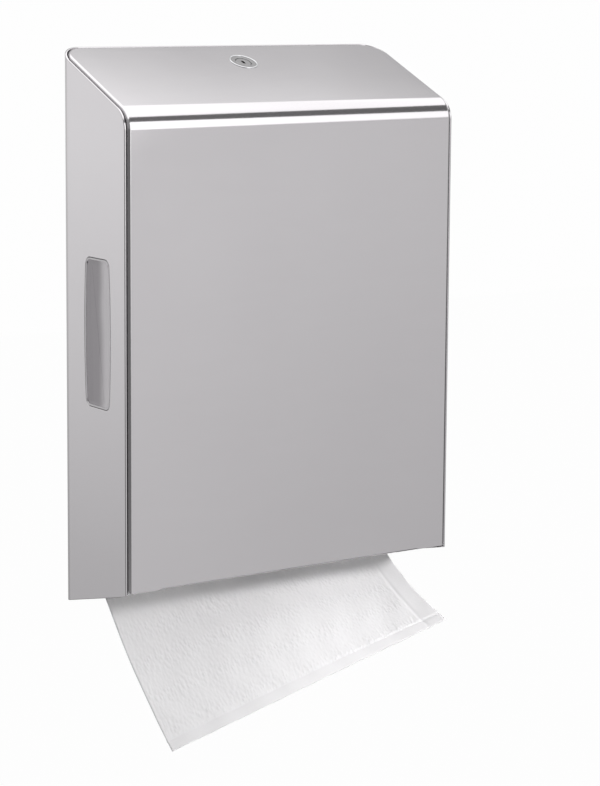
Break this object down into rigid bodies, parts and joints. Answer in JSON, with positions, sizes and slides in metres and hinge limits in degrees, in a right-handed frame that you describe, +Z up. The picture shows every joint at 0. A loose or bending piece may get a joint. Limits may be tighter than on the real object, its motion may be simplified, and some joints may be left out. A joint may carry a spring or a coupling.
{
  "type": "folded paper towel dispenser",
  "caption": "Wall-hung steel dispenser for folded paper towels: drop-front door with sloping top and cam lock, side windows, and a towel hanging from the throat below.",
  "frame": {"origin": "centre of the wall holes, on the back face", "axes": "+Z up, the door faces -Y, +Y goes into the wall, +X to the right seen from the front"},
  "size_m": [0.2658, 0.126, 0.4565],
  "materials": {
    "satin_steel": "fine satin stainless steel",
    "inner_steel": "mill finish stainless steel",
    "plated_steel": "bright zinc plate",
    "lock_metal": "satin chrome plate",
    "window_trim": "fine matt grey",
    "smoked_lens": "smoked, softly glossy",
    "bumper_rubber": "matt black",
    "folded_pack": "stacked folds of soft white paper",
    "towel_paper": "soft embossed white paper"
  },
  "bodies": {
    "chassis": {"body_shell": "satin_steel", "towel_tray": "inner_steel", "latch_rail": "inner_steel", "hinge_bracket_left": "inner_steel", "hinge_bracket_right": "inner_steel", "window_retainer_left": "inner_steel", "window_retainer_right": "inner_steel", "pack_guide_left": "inner_steel", "pack_guide_right": "inner_steel", "latch_strike": "plated_steel", "strike_rivets": "plated_steel", "hinge_pin_left": "plated_steel", "hinge_pin_right": "plated_steel", "pin_clips": "plated_steel", "window_studs": "plated_steel", "window_nuts": "plated_steel", "window_rim_left": "window_trim", "window_rim_right": "window_trim", "window_lens_left": "smoked_lens", "window_lens_right": "smoked_lens", "door_bumpers": "bumper_rubber", "towel_pack": "folded_pack"},
    "door": {"door_panel": "satin_steel", "hinge_lug_left": "inner_steel", "hinge_lug_right": "inner_steel", "lock_housing": "lock_metal", "lock_washer": "plated_steel", "lock_nut": "plated_steel"},
    "lock_core": {"lock_plug": "lock_metal", "lock_cam": "plated_steel", "cam_screw": "plated_steel"},
    "towel": {"towel_sheet": "towel_paper"}
  },
  "joints": [
    {"name": "door_swing", "type": "hinge", "parent": "chassis", "child": "door", "pos_m": [0, -0.087, -0.164], "axis": [1, 0, 0], "range_deg": [0, 90]},
    {"name": "lock_turn", "type": "hinge", "parent": "door", "child": "lock_core", "pos_m": [0, -0.026, 0.18004], "axis": [0, -0.4027, 0.9153], "range_deg": [0, 90]},
    {"name": "towel_pull", "type": "slide", "parent": "chassis", "child": "towel", "axis": [0, -0.778, -0.6282], "range_m": [0, 0.09]}
  ]
}
